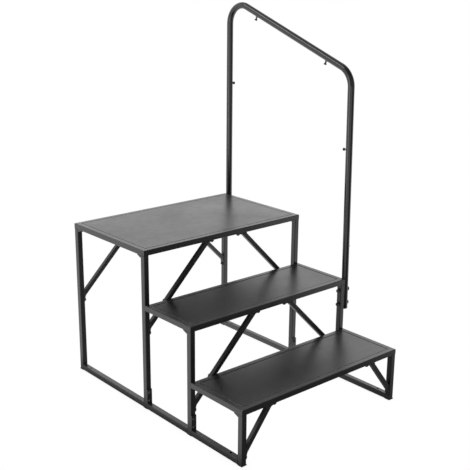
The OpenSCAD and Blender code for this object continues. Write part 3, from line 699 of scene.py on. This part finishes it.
@dataclass
class WeldGun:
    """Lays rippled weld beads into a sketch."""

    sketch: MeshSketch = field(default_factory=MeshSketch)
    radius: float = 2.0 * MM
    ripple: float = 0.12
    pitch: float = 2.1 * MM
    rings_per_ripple: int = 3
    sides: int = 8
    hand: random.Random = field(default_factory=lambda: random.Random(7))

    def lay(self, path: Sequence[Vector], closed: bool = False, thin: float = 1.0) -> None:
        """Lays one bead along a path.

        Args:
            path: Corner points of the path, on the joint.
            closed: Whether the bead runs back to its start.
            thin: Factor on the bead's radius.
        """
        places = self._even_steps(path, closed)
        rings = []
        count = len(places)
        for number, place in enumerate(places):
            ahead = places[(number + 1) % count] if closed or number < count - 1 else place
            behind = places[number - 1] if closed or number else place
            along = (ahead - behind).normalized()
            radius = self._radius_at(number, count, closed) * thin
            rings.append(self.sketch.loop(self._ring(place, along, radius)))
        for first, second in zip(rings, rings[1:]):
            self.sketch.bridge(first, second)
        if closed:
            self.sketch.bridge(rings[-1], rings[0])
        else:
            self.sketch.faces.append(tuple(reversed(rings[0])))
            self.sketch.faces.append(tuple(rings[-1]))

    def _even_steps(self, path: Sequence[Vector], closed: bool) -> list[Vector]:
        """Points at equal short steps along a path."""
        corners = list(path) + ([path[0]] if closed else [])
        lengths = [(b - a).length for a, b in zip(corners, corners[1:])]
        total = sum(lengths)
        count = max(4, round(total / self.pitch * self.rings_per_ripple))
        steps = []
        for number in range(count if closed else count + 1):
            left = total * number / count
            for (a, b), length in zip(zip(corners, corners[1:]), lengths):
                if left <= length + 1e-9:
                    steps.append(a.lerp(b, min(1.0, left / length)))
                    break
                left -= length
        return steps

    def _radius_at(self, number: int, count: int, closed: bool) -> float:
        """The bead's radius at one ring, with its ripple and its tapered ends."""
        phase = 2 * math.pi * number / self.rings_per_ripple
        swell = 1 + self.ripple * math.cos(phase) + self.hand.uniform(-0.04, 0.04)
        if not closed:
            swell *= min(1.0, 0.45 + 0.3 * min(number, count - 1 - number))
        return self.radius * swell

    def _ring(self, place: Vector, along: Vector, radius: float) -> list[Vector]:
        """Points of a circle round the path."""
        side = along.cross(Vector((0.31, 0.53, 0.79))).normalized()
        other = along.cross(side)
        turns = (2 * math.pi * i / self.sides for i in range(self.sides))
        return [place + (side * math.cos(turn) + other * math.sin(turn)) * radius for turn in turns]


# ---------------------------------------------------------------- sub-assemblies


@dataclass
class Steps:
    """The three treads: folded decks in their tube rims."""

    decks: tuple[str, ...] = ("bottom_deck", "middle_deck", "top_deck")
    rims: tuple[str, ...] = ("bottom_rim", "middle_rim", "top_rim")
    sides: tuple[str, ...] = ("front", "rear", "left", "right")
    stiffeners: str = "deck_stiffeners"
    tack_len: float = 16 * MM
    tacks_long: int = 4
    tacks_short: int = 2

    def dress(self, shop: PaintShop) -> list[Object]:
        """Finishes the decks, rims and stiffeners and tacks the decks in.

        Args:
            shop: Where the finishes come from.

        Returns:
            The pieces of the treads.
        """
        pieces = []
        for deck in self.decks:
            shop.coat(FRAME["nodes"][deck], shop.deck_coat)
            pieces.append(FRAME["nodes"][deck])
        for rim in self.rims:
            for side in self.sides:
                shop.coat(FRAME["nodes"][f"{rim}_{side}"], shop.frame_coat)
                pieces.append(FRAME["nodes"][f"{rim}_{side}"])
        shop.coat(FRAME["nodes"][self.stiffeners], shop.frame_coat)
        tacks = self.deck_tacks()
        shop.coat(tacks, shop.weld_coat)
        return [*pieces, FRAME["nodes"][self.stiffeners], tacks]

    def deck_tacks(self) -> Object:
        """Short welds under each tread, where the deck's flange meets the rim."""
        gun = WeldGun(radius=1.7 * MM)
        half = self.tack_len / 2
        for deck in self.decks:
            low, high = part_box(deck)
            for y in (low.y, high.y):
                for x in self._spread(low.x, high.x, self.tacks_long):
                    gun.lay([Vector((x - half, y, low.z)), Vector((x + half, y, low.z))])
            for x in (low.x, high.x):
                for y in self._spread(low.y, high.y, self.tacks_short):
                    gun.lay([Vector((x, y - half, low.z)), Vector((x, y + half, low.z))])
        return gun.sketch.piece("deck_tack_welds", Slot.FRAME)

    @staticmethod
    def _spread(low: float, high: float, count: int) -> list[float]:
        """Evenly spaced places between two ends, half a space in from each."""
        return [low + (high - low) * (i + 0.5) / count for i in range(count)]


@dataclass
class Underframe:
    """Legs, base rails, braces and the plates that join them."""

    steps: tuple[str, ...] = ("bottom", "middle", "top")
    sides: tuple[str, ...] = ("left", "right")
    tube: float = 20 * MM
    brace_tube: float = 16 * MM
    tab: float = 4 * MM
    tab_bolt: float = 22 * MM
    bracket_drop: float = 9 * MM

    def dress(self, shop: PaintShop) -> list[Object]:
        """Finishes the underframe and lays its welds.

        Args:
            shop: Where the finishes come from.

        Returns:
            The pieces of the underframe.
        """
        pieces = []
        for side in self.sides:
            for place in (*self.steps, "rear"):
                pieces.append(self._coated(shop, f"{place}_leg_{side}", shop.frame_coat))
                pieces.append(self._coated(shop, f"{place}_brace_{side}", shop.brace_coat))
            for step in self.steps:
                pieces.append(self._coated(shop, f"{step}_base_{side}", shop.frame_coat))
        pieces.append(self._coated(shop, "foot_plates", shop.frame_coat))
        pieces.append(self._coated(shop, "leg_brackets", shop.brace_coat))
        for cap in ("leg_caps", "foot_caps"):
            pieces.append(self._coated(shop, cap, shop.plastic))
        for welds in (self.base_welds(), self.brace_welds(), self.bracket_welds()):
            shop.coat(welds, shop.weld_coat)
            pieces.append(welds)
        return pieces

    @staticmethod
    def _coated(shop: PaintShop, node: str, finish: Finish) -> Object:
        """Finishes one CAD node and returns it."""
        shop.coat(FRAME["nodes"][node], finish)
        return FRAME["nodes"][node]

    def base_welds(self) -> Object:
        """Beads across the top of each base rail's two ends."""
        gun = WeldGun()
        for step in self.steps:
            for side in self.sides:
                low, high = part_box(f"{step}_base_{side}")
                inset = 1.5 * MM
                for y in (low.y, high.y):
                    gun.lay([Vector((low.x + inset, y, high.z)), Vector((high.x - inset, y, high.z))])
        return gun.sketch.piece("base_rail_welds", Slot.FRAME)

    def brace_welds(self) -> Object:
        """Beads round each brace where it meets its two tabs."""
        gun = WeldGun(radius=1.6 * MM)
        for side in self.sides:
            inward = 1.0 if side == "left" else -1.0
            for place in (*self.steps, "rear"):
                self._weld_brace(gun, f"{place}_brace_{side}", inward)
        return gun.sketch.piece("brace_welds", Slot.FRAME)

    def _weld_brace(self, gun: WeldGun, node: str, inward: float) -> None:
        """Lays the two beads of one brace.

        Args:
            gun: Lays the beads.
            node: The brace's CAD node.
            inward: Direction along X from the leg towards the middle, 1 or -1.
        """
        low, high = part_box(node)
        leg_x = low.x if inward > 0 else high.x
        tab_reach = self.tab_bolt + self.brace_tube / 2
        foot = Vector((leg_x, (low.y + high.y) / 2, low.z + tab_reach))
        head = Vector((leg_x + inward * (high.x - low.x - tab_reach), foot.y, high.z))
        axis = (head - foot).normalized()
        across, half = Vector((0, 1, 0)), self.brace_tube / 2 - 0.3 * MM
        at_foot = foot + axis * (self.tab / abs(axis.x))
        at_head = head - axis * (self.tab / axis.z)
        rise = half / abs(axis.x)
        reach = half / axis.z
        for middle, long_way in ((at_foot, Vector((0, 0, rise))), (at_head, Vector((reach, 0, 0)))):
            wide = across * half
            upper, lower = middle + long_way, middle - long_way
            gun.lay([upper + wide, upper - wide, lower - wide, lower + wide], closed=True)

    def bracket_welds(self) -> Object:
        """Beads under each angle bracket where it meets its leg."""
        gun = WeldGun(radius=1.5 * MM)
        half = self.tube / 2 - 2.5 * MM
        for side in self.sides:
            for place in (*self.steps, "rear"):
                low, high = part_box(f"{place}_leg_{side}")
                face_y = low.y if place == "rear" else high.y
                rim_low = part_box("top_rim_rear" if place == "rear" else f"{place}_rim_front")[0].z
                z = rim_low - self.bracket_drop
                x = (low.x + high.x) / 2
                gun.lay([Vector((x - half, face_y, z)), Vector((x + half, face_y, z))])
        return gun.sketch.piece("bracket_welds", Slot.FRAME)


@dataclass
class Handrail:
    """The one-sided loop rail with its sleeves, knobs and caps."""

    tubes: tuple[str, ...] = (
        "rear_post",
        "front_post",
        "front_tube",
        "rail_rear_bend",
        "rail_front_bend",
        "rail_slope",
    )
    sleeves: str = "rail_sleeves"
    knobs: str = "rail_knobs"
    end_caps: str = "rail_end_caps"

    def dress(self, shop: PaintShop) -> list[Object]:
        """Finishes the rail.

        Args:
            shop: Where the finishes come from.

        Returns:
            The pieces of the rail.
        """
        finishes = {tube: shop.rail_coat for tube in self.tubes}
        finishes |= {self.sleeves: shop.steel, self.knobs: shop.zinc, self.end_caps: shop.plastic}
        for node, finish in finishes.items():
            shop.coat(FRAME["nodes"][node], finish)
        return [FRAME["nodes"][node] for node in finishes]


@dataclass
class Fixings:
    """Bolts, nuts, washers, spacers and the seam screw."""

    black: tuple[str, ...] = (
        "frame_bolts",
        "tie_bolts",
        "tie_spacers",
        "tie_nuts",
        "rail_bolts",
        "rail_washers",
        "rail_nuts",
        "seam_screw",
    )
    bare: tuple[str, ...] = ("weld_nuts",)

    def dress(self, shop: PaintShop) -> list[Object]:
        """Finishes the fixings.

        Args:
            shop: Where the finishes come from.

        Returns:
            The fixings.
        """
        for node in self.black:
            shop.coat(FRAME["nodes"][node], shop.zinc)
        for node in self.bare:
            shop.coat(FRAME["nodes"][node], shop.steel)
        return [FRAME["nodes"][node] for node in (*self.black, *self.bare)]


# ---------------------------------------------------------------- studio


@dataclass(frozen=True)
class SoftBox:
    """A rectangular light panel that shows only in reflections and shading."""

    name: str
    place: tuple[float, float, float]
    towards: tuple[float, float, float]
    width: float
    height: float
    radiance: float

    def hang(self) -> Object:
        """Makes the light and returns it."""
        light = bpy.data.lights.new(self.name, "AREA")
        light.shape = "RECTANGLE"
        light.size, light.size_y = self.width, self.height
        light.energy = self.radiance * math.pi * self.width * self.height
        lamp = bpy.data.objects.new(self.name, light)
        lamp.location = self.place
        aim = Vector(self.towards) - Vector(self.place)
        lamp.rotation_euler = aim.to_track_quat("-Z", "Y").to_euler()
        lamp.visible_camera = False
        bpy.context.scene.collection.objects.link(lamp)
        return lamp


@dataclass
class Studio:
    """Staged white studio: self-lit floor, white surround, panels and the camera.

    The surround is plain white to the camera, and so is the floor but for a painted contact shade near what
    stands on it.
    For reflections and shading their brightness is set apart from that, zone by zone, so they don't light the
    block evenly.
    """

    floor_size: float = 60.0
    # darkest level of the floor's painted contact shade
    painted_contact_shade: float = 0.86
    camera_at: tuple[float, float, float] = (-2.03946, -2.35447, 1.51219)
    yaw: float = 41.046
    pitch: float = 16.666
    roll: float = -0.523
    lens: float = 69.73
    sensor: float = 36.0
    back_light: float = 1.5
    front_light: float = 0.5
    zenith_share: float = 0.5
    front_to_back: tuple[float, float] = (-0.4, 0.35)
    low_to_high: tuple[float, float] = (0.35, 0.8)
    floor_bright: float = 1.35
    floor_dim: float = 0.18
    left_zone: tuple[float, float] = (-0.46, -0.35)
    right_zone: tuple[float, float] = (-0.25, 0.65)
    right_zone_slant: float = 0.86
    contact_reach: float = 0.12
    contact_open: float = 0.9
    panels: tuple[SoftBox, ...] = (
        SoftBox("left_panel", (-2.6, 0.0, 0.9), (0.2, 0.1, 0.6), 0.7, 2.0, 4.2),
        SoftBox("rail_strip", (-1.2, 1.0, 2.97), (0.38, 0.1, 1.25), 1.8, 0.4, 8.0),
        SoftBox("right_panel", (2.4, 0.6, 0.9), (0.3, 0.3, 0.6), 0.7, 2.0, 1.2),
    )

    def set_up(self) -> None:
        """Builds the surround, floor, lights and camera."""
        scene = bpy.context.scene
        scene.view_settings.view_transform = "Standard"
        scene.view_settings.look = "None"
        self.surround()
        self.floor()
        for panel in self.panels:
            panel.hang()
        scene.camera = self.camera()

    def surround(self) -> None:
        """White to the eye; for the lighting, bright behind the block and dimmer in front."""
        world = bpy.data.worlds.new("studio_surround")
        world.use_nodes = True
        graph = Graph(world.node_tree)
        world.node_tree.nodes.clear()
        split = graph.add("ShaderNodeSeparateXYZ")
        graph.feed(split.inputs[0], graph.add("ShaderNodeTexCoord").outputs["Generated"])
        level = graph.span(split.outputs["Y"], *self.front_to_back, self.front_light, self.back_light)
        overhead = graph.span(split.outputs["Z"], *self.low_to_high, 1.0, self.zenith_share)
        level = graph.math("MULTIPLY", level, overhead)
        seen = graph.add("ShaderNodeLightPath").outputs["Is Camera Ray"]
        lighting = graph.add("ShaderNodeBackground")
        graph.feed(lighting.inputs["Strength"], level)
        lighting.inputs["Color"].default_value = grey(1.0)
        white = graph.add("ShaderNodeBackground")
        white.inputs["Color"].default_value = grey(1.0)
        either = graph.add("ShaderNodeMixShader")
        graph.feed(either.inputs[0], seen)
        graph.feed(either.inputs[1], lighting.outputs[0])
        graph.feed(either.inputs[2], white.outputs[0])
        output = graph.add("ShaderNodeOutputWorld")
        graph.feed(output.inputs["Surface"], either.outputs[0])
        bpy.context.scene.world = world

    def floor(self) -> Object:
        """White floor that gives out its own light and takes no shadows."""
        half = self.floor_size / 2
        mesh = bpy.data.meshes.new("studio_floor")
        corners = [(-half, -half, 0.0), (half, -half, 0.0), (half, half, 0.0), (-half, half, 0.0)]
        mesh.from_pydata(corners, [], [(0, 1, 2, 3)])
        floor = bpy.data.objects.new("studio_floor", mesh)
        bpy.context.scene.collection.objects.link(floor)
        mesh.materials.append(self.floor_material())
        return floor

    def floor_material(self) -> Material:
        """White to the camera, with a painted contact shade from ambient occlusion near what stands on it,
        and zoned in brightness otherwise.

        In reflections and shading the floor is dim before and under the block and bright beside it. The
        right zone's edge slants along the way that the camera's view bounces off the front faces.

        Returns:
            The floor's material.
        """
        material = bpy.data.materials.new("pale_floor")
        material.use_nodes = True
        material.node_tree.nodes.clear()
        graph = Graph(material.node_tree)
        # Painted contact shade: ambient occlusion darkens the floor's own white near what stands on it; no
        # shadow is cast on it.
        contact = graph.add("ShaderNodeAmbientOcclusion", samples=8)
        contact.inputs["Distance"].default_value = self.contact_reach
        seen_level = graph.span(contact.outputs["AO"], 0.0, self.contact_open, self.painted_contact_shade, 1.0)
        split = graph.add("ShaderNodeSeparateXYZ")
        graph.feed(split.inputs[0], graph.object_place())
        slant = graph.math("MULTIPLY", split.outputs["Y"], self.right_zone_slant)
        beside = graph.math("ADD", split.outputs["X"], slant)
        right = graph.span(beside, *self.right_zone, self.floor_dim, self.floor_bright)
        left = graph.span(split.outputs["X"], *self.left_zone, self.floor_bright, self.floor_dim)
        lit_level = graph.math("MAXIMUM", right, left)
        seen = graph.add("ShaderNodeEmission")
        graph.feed(seen.inputs["Strength"], seen_level)
        lit = graph.add("ShaderNodeEmission")
        graph.feed(lit.inputs["Strength"], lit_level)
        either = graph.add("ShaderNodeMixShader")
        graph.feed(either.inputs[0], graph.add("ShaderNodeLightPath").outputs["Is Camera Ray"])
        graph.feed(either.inputs[1], lit.outputs[0])
        graph.feed(either.inputs[2], seen.outputs[0])
        output = graph.add("ShaderNodeOutputMaterial")
        graph.feed(output.inputs["Surface"], either.outputs[0])
        return material

    def camera(self) -> Object:
        """The camera, above the front left corner of the block."""
        data = bpy.data.cameras.new("camera")
        data.lens, data.sensor_width = self.lens, self.sensor
        data.clip_start, data.clip_end = 0.05, 100.0
        camera = bpy.data.objects.new("camera", data)
        yaw, pitch, roll = (math.radians(angle) for angle in (self.yaw, self.pitch, self.roll))
        forward = Vector((math.sin(yaw) * math.cos(pitch), math.cos(yaw) * math.cos(pitch), -math.sin(pitch)))
        right = Vector((math.cos(yaw), -math.sin(yaw), 0.0))
        down = forward.cross(right)
        tilted_right = right * math.cos(roll) + down * math.sin(roll)
        tilted_up = right * math.sin(roll) - down * math.cos(roll)
        turn = Matrix((tilted_right, tilted_up, -forward)).transposed()
        camera.matrix_world = Matrix.Translation(self.camera_at) @ turn.to_4x4()
        bpy.context.scene.collection.objects.link(camera)
        return camera


def main() -> None:
    """Builds and dresses the mounting block, then sets up the studio round it."""
    logging.basicConfig(level=logging.INFO, format="%(name)s: %(message)s")
    shop = PaintShop()
    for assembly in (Steps(), Underframe(), Handrail(), Fixings()):
        for piece in assembly.dress(shop):
            LOG.info("%s: %s, %d faces", type(assembly).__name__, piece.name, len(piece.data.polygons))
    Studio().set_up()


if __name__ == "__main__":
    main()
